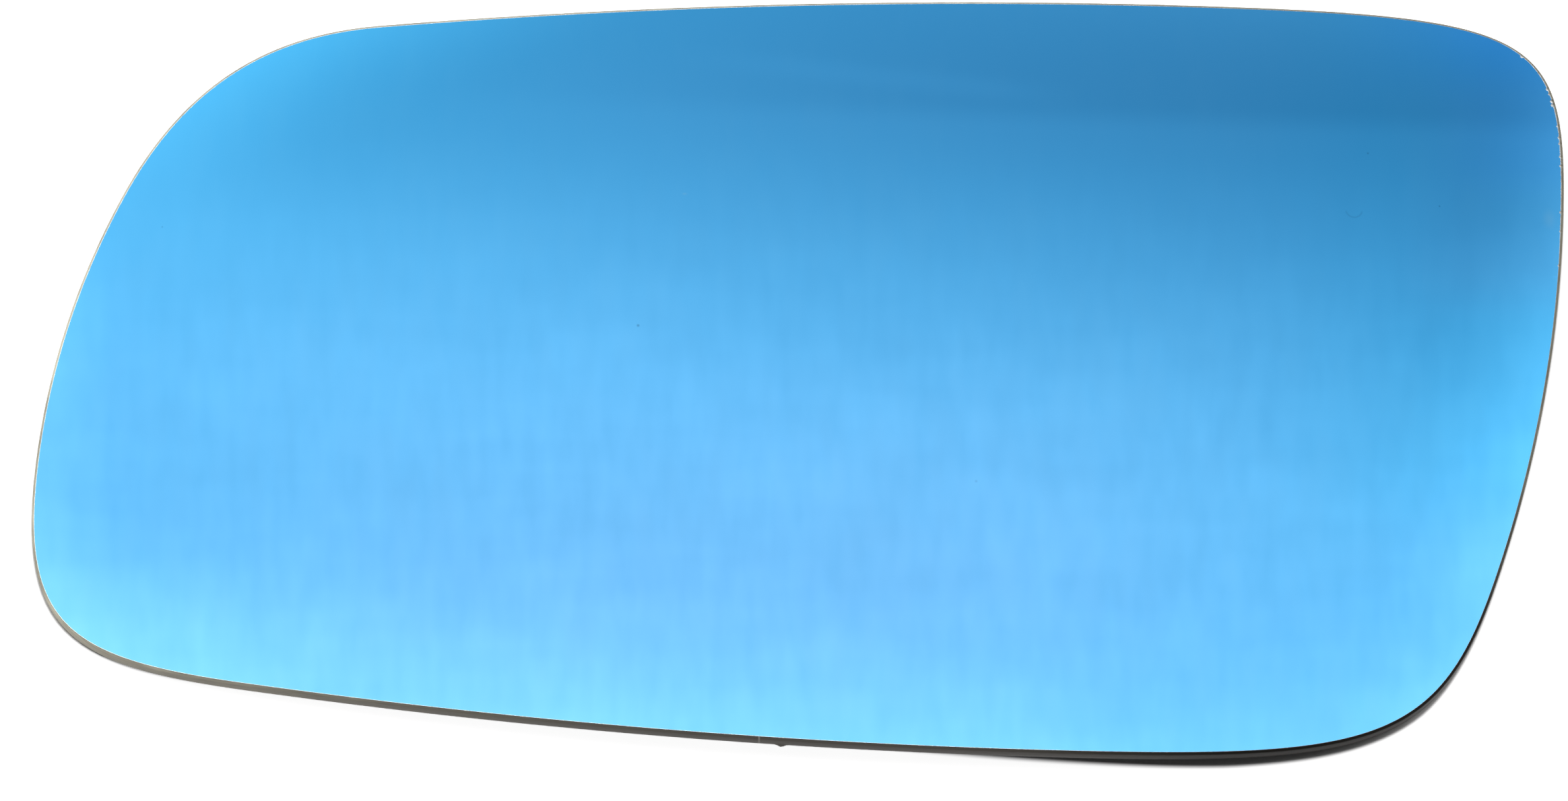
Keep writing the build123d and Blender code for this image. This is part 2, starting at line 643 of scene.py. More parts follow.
@dataclass(frozen=True)
class PaneOutline:
    """Outline of the pane seen from the front, clockwise: four crowned sides and four rounded corners."""

    upper_left: Corner = Corner(-67.5, 42.5, 24.0, 17.0, 0.71)
    upper_right: Corner = Corner(88.8, 44.8, 36.0, 21.0, 0.91)
    lower_right: Corner = Corner(69.9, -46.2, 22.0, 36.0, 0.87)
    lower_left: Corner = Corner(-88.0, -34.0, 24.0, 24.0, 0.86)
    top_crown: float = 2.8
    right_crown: float = 6.6
    bottom_crown: float = 4.7
    left_crown: float = 8.7
    fine_step: float = 0.02

    def trace(self) -> np.ndarray:
        """Draws the outline as closely spaced points.

        Returns:
            Points of the closed line, from the left end of the top side on, one row each.
        """
        corners = (self.upper_left, self.upper_right, self.lower_right, self.lower_left)
        crowns = (self.top_crown, self.right_crown, self.bottom_crown, self.left_crown)
        ends = corners[1:] + corners[:1]
        sides = [CrownedSide(a.point(), b.point(), c) for a, b, c in zip(corners, ends, crowns)]
        line = []
        for side, corner, begin, next_side in zip(sides, ends, corners, sides[1:] + sides[:1]):
            leave = side.length() - corner.along_before
            line.append(side.at(np.arange(begin.along_after, leave, self.fine_step))[0])
            line.append(self._rounding(side, next_side, corner))
        return np.vstack(line)

    def _rounding(self, side: CrownedSide, next_side: CrownedSide, corner: Corner) -> np.ndarray:
        """Draws one rounded corner, which leaves and joins its sides in line with them.

        Args:
            side: Side before the corner.
            next_side: Side after the corner.
            corner: The corner.

        Returns:
            Points of the rounding, one row each.
        """
        start, leaving = side.at(side.length() - corner.along_before)
        end, joining = next_side.at(corner.along_after)
        start_pull = start + leaving * corner.fullness * corner.along_before
        end_pull = end - joining * corner.fullness * corner.along_after
        steps = int((corner.along_before + corner.along_after) / self.fine_step)
        t = np.linspace(0, 1, steps, endpoint=False)[:, None]
        return ((1 - t) ** 3 * start + 3 * t * (1 - t) ** 2 * start_pull
                + 3 * t ** 2 * (1 - t) * end_pull + t ** 3 * end)


@dataclass(frozen=True)
class Bend:
    """Bend of the pane: part of a sphere whose highest point is at the apex."""

    radius: float
    apex: np.ndarray

    def height(self, points: np.ndarray) -> np.ndarray:
        """Height of the bent surface below its apex, which is at zero.

        Args:
            points: Places in plan, one row each.

        Returns:
            Height at each place.
        """
        reach = ((points - self.apex) ** 2).sum(-1)
        return np.sqrt(self.radius ** 2 - reach) - self.radius

    def normals(self, points: np.ndarray) -> np.ndarray:
        """Directions square to the bent surface, upwards.

        Args:
            points: Places in plan, one row each.

        Returns:
            Unit vectors, one row each.
        """
        sideways = (points - self.apex) / self.radius
        upwards = np.sqrt(1 - (sideways ** 2).sum(-1, keepdims=True))
        return np.hstack([sideways, upwards])


@dataclass(frozen=True)
class RimChip:
    """One flake chipped off the front rim."""

    along: float
    length: float
    width: float


@dataclass(frozen=True)
class ChippedRim:
    """Chips along the front rim at the upper right corner.

    Distances run clockwise from the left end of the top side.
    """

    chips: tuple[RimChip, ...] = (
        RimChip(136.7, 0.45, 0.20),
        RimChip(142.0, 0.40, 0.16),
        RimChip(142.7, 0.30, 0.14),
        RimChip(143.7, 0.45, 0.20),
        RimChip(144.2, 0.50, 0.24),
        RimChip(147.0, 0.30, 0.12),
        RimChip(148.5, 0.35, 0.14),
        RimChip(149.3, 0.30, 0.12),
        RimChip(151.0, 0.35, 0.14),
        RimChip(152.2, 0.35, 0.14),
        RimChip(158.2, 0.35, 0.12),
        RimChip(160.6, 0.25, 0.10),
        RimChip(165.0, 0.25, 0.10),
    )
    frayed_from: float = 131.0
    frayed_to: float = 167.0
    frayed_fade: float = 9.0
    frayed_width: float = 0.09
    frayed_least: float = 0.3  # narrowest fraying, as a share of its width
    sound_width: float = 0.02
    depth_share: float = 0.4
    step_at: float = 0.45  # where the broken step lies, as a share of the bare width
    step_depth: float = 0.9  # as a share of the depth at the rim

    def width(self, along: np.ndarray, noise: np.random.Generator) -> np.ndarray:
        """Width of bare glass between the film and the ground edge.

        Args:
            along: Distances along the rim.
            noise: Source of chance.

        Returns:
            Width at each distance.
        """
        frayed = smooth_step(along, self.frayed_from, self.frayed_from + self.frayed_fade)
        frayed = frayed * smooth_step(along, self.frayed_to, self.frayed_to - self.frayed_fade)
        ragged = noise.uniform(self.frayed_least, 1.0, len(along))
        bare = self.sound_width + self.frayed_width * frayed * ragged
        for chip in self.chips:
            off = (along - chip.along) / (chip.length / 2)
            bare = bare + chip.width * np.sqrt(np.clip(1 - off ** 2, 0, None))
        return bare


@dataclass(frozen=True)
class LacquerDrip:
    """Small hardened drip of lacquer that hangs from the lower rim."""

    along: float = 297.3
    spread: float = 0.40
    out: float = 0.17
    down: float = 0.26

    def share(self, along: np.ndarray) -> np.ndarray:
        """How much of the drip there is at each distance along the rim."""
        return np.exp(-((along - self.along) / self.spread) ** 2)


class Surface(IntEnum):
    """Surfaces of the pane, in the order of its material slots."""

    FILM = 0
    FLAKED = 1
    EDGE = 2
    BACK = 3


@dataclass
class MirrorPane:
    """The mirror glass: a bent pane of even thickness, coated on its face and ground along its edge."""

    node: str = "mirror_glass"
    slot: str = "blue_mirror"
    thickness: float = 2.0
    bend_radius: float = 1260.0
    arris: float = 0.3
    land_crown: float = 0.03
    grit_relief: float = 0.008
    arris_steps: int = 6
    land_steps: int = 5
    rim_step: float = 0.33
    chipped_step: float = 0.05
    chipped_margin: float = 4.0
    facet_step: float = 4.0
    border_rows: tuple[tuple[float, int], ...] = ((0.9, 4), (2.2, 9))  # inset, and stride along the border
    nearest_stride: int = 3
    merge_reach: float = 1e-7
    seed: int = 7
    outline: PaneOutline = field(default_factory=PaneOutline)
    chipped: ChippedRim = field(default_factory=ChippedRim)
    drip: LacquerDrip = field(default_factory=LacquerDrip)
    finishes: dict[Surface, Finish] = field(default_factory=lambda: {
        Surface.FILM: BlueMirrorFilm(),
        Surface.FLAKED: FlakedGlass(),
        Surface.EDGE: GroundGlass(),
        Surface.BACK: BackLacquer(),
    })

    def build(self) -> bpy.types.Object:
        """Builds the pane, dresses it and puts it in the place of its solid.

        Returns:
            The finished piece.
        """
        points, faces, surfaces, normals = self._shape()
        mesh = bpy.data.meshes.new("bent_mirror_pane")
        mesh.from_pydata((points * MM).tolist(), [], faces)
        for surface in Surface:
            mesh.materials.append(self.finishes[surface].build())
        mesh.polygons.foreach_set("material_index", surfaces)
        mesh.polygons.foreach_set("use_smooth", [True] * len(faces))
        mesh.normals_split_custom_set(normals)
        mesh.update()
        piece = bpy.data.objects.new("bent_mirror_pane", mesh)
        bpy.context.scene.collection.objects.link(piece)
        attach(piece, "root")
        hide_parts(self.node)
        return piece

    def foot(self) -> tuple[np.ndarray, np.ndarray, np.ndarray]:
        """Finds the lower rim of the glass, which stands clear of the floor except at two corners.

        Returns:
            Points in plan, outward directions, and the gap between the rim and the floor at each point.
        """
        rim, outward, _, bend = self._rim()
        height = Bend(self.bend_radius - self.thickness, bend.apex).height(rim)
        return rim, outward, height - height.min()

    def _rim(self) -> tuple[np.ndarray, np.ndarray, np.ndarray, Bend]:
        """Places points along the outline, closer together where the rim is chipped.

        Returns:
            Points, outward directions and distances along the rim, and the bend that the pane is cut from.
        """
        line = self.outline.trace()
        middle = (line.min(0) + line.max(0)) / 2
        apex = (self.outline.upper_right.point() + self.outline.lower_left.point()) / 2 - middle
        closed = np.vstack([line, line[:1]]) - middle
        gaps = np.linalg.norm(np.diff(closed, axis=0), axis=1)
        distance = np.concatenate([[0.0], np.cumsum(gaps)])
        start = self.chipped.frayed_from
        end = self.chipped.frayed_to
        chipped = smooth_step(distance, start - self.chipped_margin, start)
        chipped = chipped * smooth_step(distance, end + self.chipped_margin, end)
        density = 1 / (self.rim_step + (self.chipped_step - self.rim_step) * chipped)
        count = np.concatenate([[0.0], np.cumsum((density[1:] + density[:-1]) / 2 * gaps)])
        along = np.interp(np.arange(int(count[-1])) * count[-1] / int(count[-1]), count, distance)
        points = np.stack([np.interp(along, distance, closed[:, k]) for k in (0, 1)], 1)
        travel = np.roll(points, -1, 0) - np.roll(points, 1, 0)
        outward = np.stack([-travel[:, 1], travel[:, 0]], 1) / np.linalg.norm(travel, axis=1)[:, None]
        return points, outward, along, Bend(self.bend_radius, apex)

    def _edge_rings(self, along: np.ndarray) -> list[tuple[np.ndarray, np.ndarray, bool, Surface]]:
        """Works out the section of the edge, from the film's border over the edge to the lacquer's border.

        Args:
            along: Distances along the rim.

        Returns:
            For each ring of points: how far inside the outline it lies, how far below the face or above the
            back, whether that is from the back, and the surface between it and the ring before.
        """
        noise = np.random.default_rng(self.seed)
        bare = self.chipped.width(along, noise)
        flake = self.chipped.depth_share * (bare - self.chipped.sound_width)
        drip = self.drip.share(along)
        nothing = np.zeros(len(along))
        rings = [
            (self.arris + bare, nothing, False, Surface.FLAKED),
            (self.arris + self.chipped.step_at * bare, self.chipped.step_depth * flake,
             False, Surface.FLAKED),
            (self.arris + nothing, flake, False, Surface.FLAKED),
        ]
        for turn in np.linspace(0, pi / 2, self.arris_steps + 1)[1:]:
            grit = noise.uniform(-self.grit_relief, self.grit_relief, len(along))
            fade = cos(turn)
            rings.append((self.arris * (1 - sin(turn)) + grit, self.arris * (1 - cos(turn)) + flake * fade,
                          False, Surface.EDGE))
        land = self.thickness - 2 * self.arris
        for share in np.linspace(0, 1, self.land_steps + 1)[1:-1]:
            grit = noise.uniform(-self.grit_relief, self.grit_relief, len(along))
            crown = self.land_crown * (1 - (2 * share - 1) ** 2)
            rings.append((grit - crown, self.arris + land * share + nothing, False, Surface.EDGE))
        for turn in np.linspace(pi / 2, 0, self.arris_steps + 1):
            grit = noise.uniform(-self.grit_relief, self.grit_relief, len(along))
            rings.append((self.arris * (1 - sin(turn)) + grit * sin(turn) - self.drip.out * drip,
                          self.arris * (1 - cos(turn)) - self.drip.down * drip, True, Surface.EDGE))
        return rings

    def _shape(self) -> tuple[np.ndarray, list[tuple[int, ...]], list[int], list[np.ndarray]]:
        """Works out the whole closed surface of the pane.

        Returns:
            Points, faces, the surface of each face, and the direction square to each corner of each face,
            which is zero where it follows from the faces.
        """
        rim, outward, along, bend = self._rim()
        back_bend = Bend(self.bend_radius - self.thickness, bend.apex)
        count = len(rim)
        layers = []
        faces: list[tuple[int, ...]] = []
        surfaces: list[int] = []
        normals: list[np.ndarray] = []
        rings = self._edge_rings(along)
        following = np.roll(np.arange(count), -1)
        for number, (inset, step, from_back, surface) in enumerate(rings):
            plan = rim - outward * inset[:, None]
            height = bend.height(plan) - step
            if from_back:
                height = back_bend.height(plan) - self.thickness + step
            layers.append(np.column_stack([plan, height]))
            if number:
                upper = (number - 1) * count
                lower = number * count
                for i in range(count):
                    faces.append((upper + i, upper + following[i], lower + following[i], lower + i))
                surfaces += [int(surface)] * count
                normals += [np.zeros(3)] * 4 * count
        first_free = len(rings) * count
        for ring, sheet, lower_by, surface in ((0, bend, 0.0, Surface.FILM),
                                               (len(rings) - 1, back_bend, self.thickness, Surface.BACK)):
            border = layers[ring][:, :2]
            inner = self._inner_points(border, outward)
            layers.append(np.column_stack([inner, sheet.height(inner) - lower_by]))
            plan = np.vstack([border, inner])
            number = np.concatenate([ring * count + np.arange(count), first_free + np.arange(len(inner))])
            first_free += len(inner)
            square = sheet.normals(plan)
            for face in self._fill(plan, count):
                if surface is Surface.BACK:
                    face = face[::-1]
                faces.append(tuple(number[list(face)]))
                surfaces.append(int(surface))
                normals += [-square[k] if surface is Surface.BACK else square[k] for k in face]
        points = np.vstack(layers)
        points[:, 2] += cad_box[0].z / MM - points[:, 2].min()
        return points, faces, surfaces, normals

    def _inner_points(self, border: np.ndarray, outward: np.ndarray) -> np.ndarray:
        """Scatters points over the inside of a border, further apart towards the middle.

        Args:
            border: Points of the border, one row each.
            outward: Outward directions along it.

        Returns:
            Points inside, one row each.
        """
        rows = [(border - inset * outward)[::stride] for inset, stride in self.border_rows]
        low = border.min(0)
        high = border.max(0)
        across = np.arange(low[0], high[0], self.facet_step)
        up = np.arange(low[1], high[1], self.facet_step)
        lattice = np.stack(np.meshgrid(across, up), -1).astype(float)
        lattice[1::2, :, 0] += self.facet_step / 2
        lattice = lattice.reshape(-1, 2)
        away = lattice[:, None, :] - border[None, ::self.nearest_stride, :]
        nearest = (away ** 2).sum(-1).argmin(1)
        picked = np.arange(len(lattice))
        depth = -(away[picked, nearest] * outward[::self.nearest_stride][nearest]).sum(-1)
        rows.append(lattice[depth > self.facet_step])
        return np.vstack(rows)

    def _fill(self, plan: np.ndarray, count: int) -> list[tuple[int, ...]]:
        """Fills the inside of a border with triangles.

        Args:
            plan: Points of the border and then points inside it, one row each.
            count: Number of points on the border.

        Returns:
            Triangles, anticlockwise from above.
        """
        # The border runs clockwise, so it is handed over the other way round
        loop = list(range(count))[::-1]
        places = [Vector(place) for place in plan]
        _, _, triangles, origins, _, _ = delaunay_2d_cdt(places, [], [loop], KEEP_INSIDE, self.merge_reach)
        return [tuple(origins[k][0] for k in triangle) for triangle in triangles]


@dataclass(frozen=True)
class LightRamp:
    """Smooth rise of a light with direction: the heading it rises towards, and where it starts and ends.

    A heading is in degrees clockwise from the back, so 90 is to the right and 180 to the front. The start
    and the end are sines of the angle from straight above.
    """

    heading: float
    start: float
    end: float


@dataclass(frozen=True)
class LightZone:
    """Part of the light that differs from its level by this amount, where all of its ramps have risen."""

    amount: float
    ramps: tuple[LightRamp, ...]


@dataclass(frozen=True)
class Streaks:
    """Fine unevenness of the light: width and height of its marks, as sines, and how strong they are."""

    width: float
    height: float
    depth: float


@dataclass(frozen=True)
class SoftSurroundings:
    """Soft studio light from all round, bright behind and dim in front.

    The zones shape the part of it that the face mirrors towards the photograph's viewpoint: brighter round
    the rim, dimmer and cooler behind on the right, and a little warmer in the middle. Outside that part,
    what glossy surfaces mirror is plain: darker towards the horizon, and a little brighter behind on the
    left.
    """

    level: float = 0.938
    zones: tuple[LightZone, ...] = (
        # Brighter in front, on the left, far behind and on the right
        LightZone(1.25, (LightRamp(186, -0.293, -0.102),)),
        LightZone(1.25, (LightRamp(260, 0.155, 0.351),)),
        LightZone(1.29, (LightRamp(338, 0.454, 0.589),)),
        LightZone(1.25, (LightRamp(102, 0.129, 0.262),)),
        # Dimmer behind, and less so further back
        LightZone(-0.59, (LightRamp(11, 0.306, 0.493), LightRamp(90, -0.30, -0.14))),
        LightZone(0.40, (LightRamp(0, 0.418, 0.560), LightRamp(90, -0.30, -0.14))),
        # A faint fold and a thin pale crease
        LightZone(-0.053, (LightRamp(2, 0.437, 0.447), LightRamp(90, -0.19, 0.11))),
        LightZone(0.024, (LightRamp(6, 0.447, 0.453), LightRamp(186, -0.459, -0.453),
                          LightRamp(90, -0.05, 0.01), LightRamp(270, -0.10, -0.06))),
        # A slightly dimmer band behind on the right
        LightZone(-0.04, (LightRamp(90, 0.19, 0.25), LightRamp(0, 0.345, 0.385),
                          LightRamp(180, -0.44, -0.40))),
        # A little brighter at the front right, at the front left and on the left
        LightZone(0.09, (LightRamp(90, 0.14, 0.21), LightRamp(180, -0.27, -0.235))),
        LightZone(0.11, (LightRamp(270, 0.17, 0.21), LightRamp(180, -0.30, -0.26))),
        LightZone(0.10, (LightRamp(270, 0.22, 0.25), LightRamp(0, 0.32, 0.36))),
    )
    brightest: float = 1.45
    warmth_zones: tuple[LightZone, ...] = (
        # Warmer in the middle and cooler far behind
        LightZone(0.37, (LightRamp(180, -0.405, -0.264), LightRamp(0, 0.197, 0.293),
                         LightRamp(90, -0.32, -0.04), LightRamp(270, -0.232, -0.028))),
        LightZone(-0.70, (LightRamp(342, 0.38, 0.612),)),
        # Less cool in the dim part, cooler on the right, and less so in a band there
        LightZone(0.11, (LightRamp(0, 0.417, 0.454), LightRamp(90, -0.17, -0.03))),
        LightZone(-0.22, (LightRamp(90, 0.14, 0.24), LightRamp(0, 0.28, 0.33))),
        LightZone(0.22, (LightRamp(90, 0.19, 0.23), LightRamp(0, 0.365, 0.39),
                         LightRamp(180, -0.46, -0.44))),
    )
    red_power: float = 1.6
    blue_power: float = 0.82
    blue_gain: float = 1.1
    blue_zones: tuple[LightZone, ...] = (
        # Bluer behind on the right
        LightZone(0.17, (LightRamp(90, 0.17, 0.24), LightRamp(0, 0.437, 0.47))),
        LightZone(0.07, (LightRamp(90, 0.205, 0.24), LightRamp(0, 0.405, 0.425))),
    )
    streaks: tuple[Streaks, ...] = (
        Streaks(0.0058, 0.025, 0.17),
        Streaks(0.05, 0.011, 0.09),
        Streaks(0.048, 0.028, 0.14),
    )
    streak_fade: LightRamp = LightRamp(180, -0.46, -0.32)
    mirrored_middle: tuple[float, float, float] = (0.0, 0.345, 0.0)
    mirrored_half: tuple[float, float] = (0.25, 0.13)
    surround_start: float = 1.3
    surround_end: float = 1.9
    surround_slope: LightRamp = LightRamp(0, -0.10, 0.40)
    surround_dim: float = 0.04
    surround_bright: float = 2.0
    horizon_shown: float = 0.52
    overhead_shown: float = 1.0
    overhead_from: float = 0.55
    shown_slope: LightRamp = LightRamp(315, -0.32, 0.32)
    shown_dim: float = 0.70

    def build(self) -> None:
        """Makes the world.

        Round the part that the face mirrors, matt surfaces are lit by a steep slope of light and glossy
        ones mirror a plainer one. The camera itself sees white.
        """
        world = bpy.data.worlds.new("soft_surroundings")
        world.use_nodes = True
        bpy.context.scene.world = world
        tree = world.node_tree
        tree.nodes.clear()
        direction = add_node(tree, "TexCoord").outputs["Generated"]
        mirrored = self._mirrored_colour(tree, direction)
        lit = self._ramp(tree, direction, self.surround_slope, self.surround_dim, self.surround_bright)
        height = add_node(tree, "SeparateXYZ", None, {0: direction}).outputs["Z"]
        plain = add_node(tree, "MapRange", SMOOTH, {
            "Value": height, "From Max": self.overhead_from,
            "To Min": self.horizon_shown, "To Max": self.overhead_shown})
        sloped = add_node(tree, "Math", {"operation": "MULTIPLY"}, {
            0: plain.outputs[0], 1: self._ramp(tree, direction, self.shown_slope, self.shown_dim)})
        rays = add_node(tree, "LightPath")
        around = add_node(tree, "Mix", COLOURS, {
            "Factor": rays.outputs["Is Glossy Ray"], FIRST: lit, SECOND: sloped.outputs[0]})
        from_middle = add_node(tree, "VectorMath", {"operation": "SUBTRACT"}, {
            0: direction, 1: self.mirrored_middle})
        squared_up = add_node(tree, "VectorMath", {"operation": "MULTIPLY"}, {
            0: from_middle.outputs[0], 1: (1 / self.mirrored_half[0], 1 / self.mirrored_half[1], 0)})
        reach = add_node(tree, "VectorMath", {"operation": "LENGTH"}, {0: squared_up.outputs[0]})
        outside = add_node(tree, "MapRange", SMOOTH, {
            "Value": reach.outputs["Value"], "From Min": self.surround_start, "From Max": self.surround_end})
        colour = add_node(tree, "Mix", COLOURS, {
            "Factor": outside.outputs[0], FIRST: mirrored, SECOND: around.outputs[MIXED]})
        shown = add_node(tree, "Mix", COLOURS, {
            "Factor": rays.outputs["Is Camera Ray"], FIRST: colour.outputs[MIXED], SECOND: (1, 1, 1, 1)})
        background = add_node(tree, "Background", None, {"Color": shown.outputs[MIXED]})
        add_node(tree, "OutputWorld", None, {"Surface": background.outputs[0]})

    def _mirrored_colour(
        self,
        tree: bpy.types.NodeTree,
        direction: bpy.types.NodeSocket,
    ) -> bpy.types.NodeSocket:
        """Colours the part of the light that the face mirrors: cooler where it is dim, warmer in the middle.

        Args:
            tree: Node tree of the world.
            direction: Direction that is looked in.

        Returns:
            Colour of the light.
        """
        smooth = self._sum(tree, direction, self.level, self.zones)
        capped = add_node(tree, "Math", {"operation": "MINIMUM"}, {0: smooth, 1: self.brightest})
        light = self._streaked(tree, direction, capped.outputs[0])
        warmth = self._sum(tree, direction, 1.0, self.warmth_zones)
        red = add_node(tree, "Math", {"operation": "POWER"}, {0: light, 1: self.red_power})
        warm_red = add_node(tree, "Math", {"operation": "MULTIPLY"}, {0: red.outputs[0], 1: warmth})
        coolness = self._sum(tree, direction, self.blue_gain, self.blue_zones)
        blue = add_node(tree, "Math", {"operation": "POWER"}, {0: light, 1: self.blue_power})
        more_blue = add_node(tree, "Math", {"operation": "MULTIPLY"}, {
            0: blue.outputs[0], 1: coolness})
        return add_node(tree, "CombineColor", None, {
            0: warm_red.outputs[0], 1: light, 2: more_blue.outputs[0]}).outputs[0]

    def _ramp(
        self,
        tree: bpy.types.NodeTree,
        direction: bpy.types.NodeSocket,
        ramp: LightRamp,
        low: float = 0.0,
        high: float = 1.0,
    ) -> bpy.types.NodeSocket:
        """Adds one smooth rise with direction.

        Args:
            tree: Node tree of the world.
            direction: Direction that is looked in.
            ramp: The rise.
            low: Value before it.
            high: Value after it.

        Returns:
            Value in that direction.
        """
        heading = radians(ramp.heading)
        slope = add_node(tree, "VectorMath", {"operation": "DOT_PRODUCT"}, {
            0: direction, 1: (sin(heading), cos(heading), 0)})
        return add_node(tree, "MapRange", SMOOTH, {
            "Value": slope.outputs["Value"], "From Min": ramp.start, "From Max": ramp.end,
            "To Min": low, "To Max": high}).outputs[0]

    def _sum(
        self,
        tree: bpy.types.NodeTree,
        direction: bpy.types.NodeSocket,
        level: float,
        zones: tuple[LightZone, ...],
    ) -> bpy.types.NodeSocket:
        """Adds zones to a level.

        Args:
            tree: Node tree of the world.
            direction: Direction that is looked in.
            level: Value outside all zones.
            zones: The zones.

        Returns:
            Value in that direction.
        """
        total: Any = level
        for zone in zones:
            part: Any = zone.amount
            for ramp in zone.ramps:
                part = add_node(tree, "Math", {"operation": "MULTIPLY"}, {
                    0: part, 1: self._ramp(tree, direction, ramp)}).outputs[0]
            total = add_node(tree, "Math", {"operation": "ADD"}, {0: total, 1: part}).outputs[0]
        return total

    def _streaked(
        self,
        tree: bpy.types.NodeTree,
        direction: bpy.types.NodeSocket,
        light: bpy.types.NodeSocket,
    ) -> bpy.types.NodeSocket:
        """Gives the light its fine unevenness: short upright and level streaks, which fade towards the back.

        Args:
            tree: Node tree of the world.
            direction: Direction that is looked in.
            light: Even light.

        Returns:
            Uneven light.
        """
        for streaks in self.streaks:
            depth = self._ramp(tree, direction, self.streak_fade, 0.0, streaks.depth)
            drawn_out = add_node(tree, "VectorMath", {"operation": "MULTIPLY"}, {
                0: direction, 1: (1 / streaks.width, 1 / streaks.height, 1.0)})
            marks = add_node(tree, "TexNoise", None, {
                "Vector": drawn_out.outputs[0], "Scale": 1.0, "Detail": 2.0})
            around_zero = add_node(tree, "Math", {"operation": "SUBTRACT"}, {
                0: marks.outputs[0], 1: NOISE_MIDDLE})
            gain = add_node(tree, "Math", {"operation": "MULTIPLY_ADD"}, {
                0: around_zero.outputs[0], 1: depth, 2: 1.0})
            light = add_node(tree, "Math", {"operation": "MULTIPLY"}, {
                0: light, 1: gain.outputs[0]}).outputs[0]
        return light


@dataclass(frozen=True)
class SoftSpot:
    """Soft spot in front on the left, which lights the edge along the bottom, mostly at its left end."""

    x: float = -230.0
    y: float = -300.0
    z: float = 330.0
    aim_x: float = -70.0
    aim_y: float = -45.0
    radius: float = 12.0
    cone: float = 24.6  # degrees
    soft_border: float = 0.25
    power: float = 23.0  # watts

    def build(self, floor: bpy.types.Object) -> bpy.types.Object:
        """Hangs the lamp so that it faces the glass, and keeps its light off the floor.

        Args:
            floor: The floor, which the surroundings alone light.

        Returns:
            The lamp.
        """
        data = bpy.data.lights.new("soft_spot", "SPOT")
        data.shadow_soft_size = self.radius * MM
        data.spot_size = radians(self.cone)
        data.spot_blend = self.soft_border
        data.energy = self.power
        lamp = bpy.data.objects.new("soft_spot", data)
        place = Vector((self.x, self.y, self.z))
        lamp.location = place * MM
        sight = Vector((self.aim_x, self.aim_y, 0)) - place
        lamp.rotation_euler = sight.to_track_quat("-Z", "Y").to_euler()
        lamp.visible_camera = False
        lamp.visible_glossy = False
        bpy.context.scene.collection.objects.link(lamp)
        unlit = bpy.data.collections.new("unlit_by_spot")
        unlit.objects.link(floor)
        unlit.collection_objects[0].light_linking.link_state = "EXCLUDE"
        lamp.light_linking.receiver_collection = unlit
        return lamp


@dataclass
class Floor:
    """Board that the glass lies on: rings of points round the rim note how open it is above them, for
    painted shade.
    """

    gap: float = 0.01  # below the glass, so that the two don't touch
    stride: int = 4
    # How far each ring lies outside the rim, or inside it if negative
    rings: tuple[float, ...] = (
        -5.0, -2.5, -1.2, -0.6, -0.3, 0.0, 0.12, 0.25, 0.4, 0.55, 0.7, 0.85, 1.0, 1.3, 1.8, 3.0, 6.0,
        20.0, 120.0, 800.0, 4000.0)
    smallest_gap: float = 0.02
    front_slip_from: float = 48.0
    front_slip_run: float = 54.0
    right_slip: float = 0.33
    # Parts of the outward direction at which the rim starts to face a side and faces it fully
    facing_front: tuple[float, float] = (0.3, 0.8)
    facing_right: tuple[float, float] = (0.6, 0.9)
    turning_front: tuple[float, float] = (0.08, 0.3)
    finish: WhiteFloor = field(default_factory=WhiteFloor)

    def build(self, pane: MirrorPane) -> bpy.types.Object:
        """Lays the floor under the glass.

        Args:
            pane: The glass that lies on it.

        Returns:
            The floor.
        """
        rim, outward, clear = [part[::self.stride] for part in pane.foot()]
        count = len(rim)
        painted_reach = self._painted_light_reach(rim, outward, clear)
        level = cad_box[0].z / MM - self.gap
        points = np.vstack([rim + outward * ring for ring in self.rings])
        places = np.column_stack([points, np.full(len(points), level)])
        following = np.roll(np.arange(count), -1)
        faces = [tuple(range(count))[::-1]]
        for number in range(len(self.rings) - 1):
            inner = number * count
            outer = inner + count
            for i, after in enumerate(following):
                faces.append((inner + i, inner + after, outer + after, outer + i))
        mesh = bpy.data.meshes.new("floor")
        mesh.from_pydata((places * MM).tolist(), [], faces)
        openness = mesh.attributes.new(self.finish.openness, "FLOAT", "POINT")
        # Openness moved out by the painted light's reach: where it is low, the glow gives way to painted
        # shade
        openness.data.foreach_set("value", np.hstack([
            self._openness(ring + painted_reach, clear, pane.thickness) for ring in self.rings]))
        mesh.materials.append(self.finish.build())
        mesh.update()
        floor = bpy.data.objects.new("floor", mesh)
        bpy.context.scene.collection.objects.link(floor)
        return floor

    def _painted_light_reach(self, rim: np.ndarray, outward: np.ndarray, clear: np.ndarray) -> np.ndarray:
        """Works out how far painted light reaches under the rim: mostly at the front left, and a little on
        the right.

        Args:
            rim: Points of the lower rim in plan, one row each.
            outward: Outward directions along it.
            clear: Gap between the rim and the floor.

        Returns:
            How far under the rim the painted light reaches at each point.
        """
        forward = -outward[:, 1]
        front = smooth_step(forward, *self.facing_front)
        leftwards = np.clip((self.front_slip_from - rim[:, 0]) / self.front_slip_run, 0, 1)
        right = smooth_step(outward[:, 0], *self.facing_right) * smooth_step(forward, *self.turning_front)
        return clear * (front * leftwards + right * self.right_slip)

    def _openness(self, ring: np.ndarray, clear: np.ndarray, thickness: float) -> np.ndarray:
        """Works out how much of the sky shows above the floor, beside the rim or under it.

        Args:
            ring: How far outside the lit border each point is, or inside it if negative.
            clear: Gap between the rim and the floor.
            thickness: Thickness of the glass.

        Returns:
            Share of the sky that shows at each point of the ring.
        """
        height = np.maximum(clear, self.smallest_gap) + np.where(ring > 0, thickness, 0.0)
        return (1 + ring / np.sqrt(ring ** 2 + height ** 2)) / 2


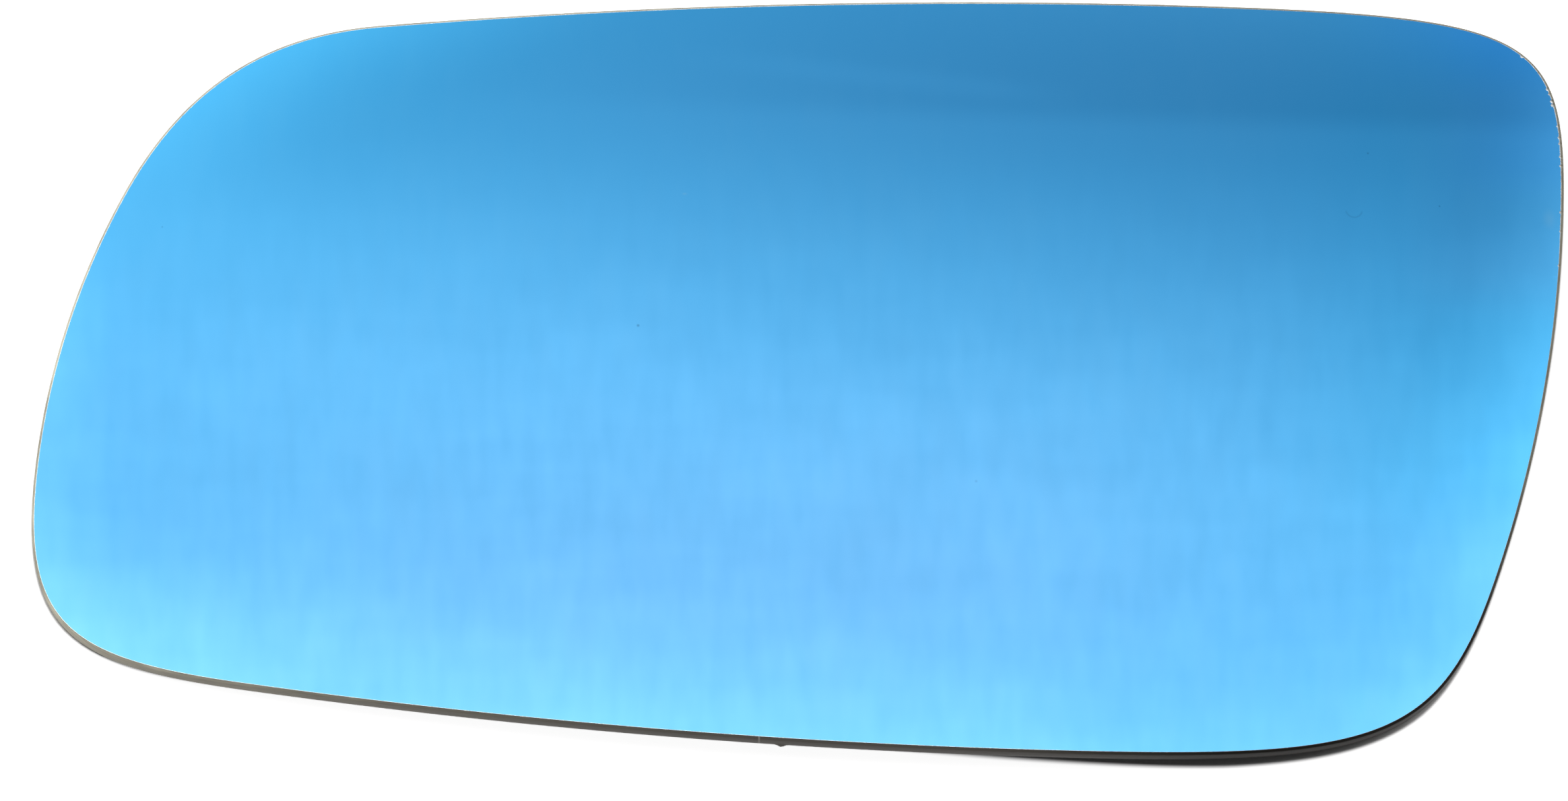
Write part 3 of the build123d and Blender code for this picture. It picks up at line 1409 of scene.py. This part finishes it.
@dataclass
class Studio:
    """Floor, surroundings and lamp that the glass is shown in."""

    floor: Floor = field(default_factory=Floor)
    surroundings: SoftSurroundings = field(default_factory=SoftSurroundings)
    lamp: SoftSpot = field(default_factory=SoftSpot)

    def build(self, pane: MirrorPane) -> bpy.types.Object:
        """Lays the floor and sets the light.

        Args:
            pane: The glass that is shown.

        Returns:
            The floor.
        """
        self.surroundings.build()
        floor = self.floor.build(pane)
        self.lamp.build(floor)
        return floor


@dataclass(frozen=True)
class PhotoCamera:
    """Camera at the photograph's viewing angle: in front, looking steeply down."""

    from_upright: float = 21.0  # degrees between the line of sight and straight down
    distance: float = 700.0
    aim_x: float = -2.576
    aim_y: float = -2.281
    lens: float = 138.08
    sensor: float = 36.0
    nearest_shown: float = 10.0
    furthest_shown: float = 20000.0

    def build(self) -> bpy.types.Object:
        """Makes the camera and sets it as the scene's own.

        Returns:
            The camera.
        """
        tilt = radians(self.from_upright)
        back = Vector((0, -sin(tilt), cos(tilt)))
        data = bpy.data.cameras.new("photo_camera")
        data.lens = self.lens
        data.sensor_width = self.sensor
        data.clip_start = self.nearest_shown * MM
        data.clip_end = self.furthest_shown * MM
        camera = bpy.data.objects.new("photo_camera", data)
        camera.location = (Vector((self.aim_x, self.aim_y, 0)) + back * self.distance) * MM
        camera.rotation_euler = (-back).to_track_quat("-Z", "Y").to_euler()
        bpy.context.scene.collection.objects.link(camera)
        bpy.context.scene.camera = camera
        return camera


def main() -> None:
    """Builds the glass, the studio and the camera."""
    logging.basicConfig(level=logging.INFO, format="%(name)s: %(message)s")
    bpy.context.scene.view_settings.view_transform = "Standard"
    pane = MirrorPane()
    piece = pane.build()
    log.info("%s: %d points, %d faces", piece.name, len(piece.data.vertices), len(piece.data.polygons))
    floor = Studio().build(pane)
    log.info("%s: %.1f m wide", floor.name, floor.dimensions.x)
    camera = PhotoCamera().build()
    log.info("%s: %.2f mm lens", camera.name, camera.data.lens)
    bpy.context.view_layer.update()


if __name__ == "__main__":
    main()
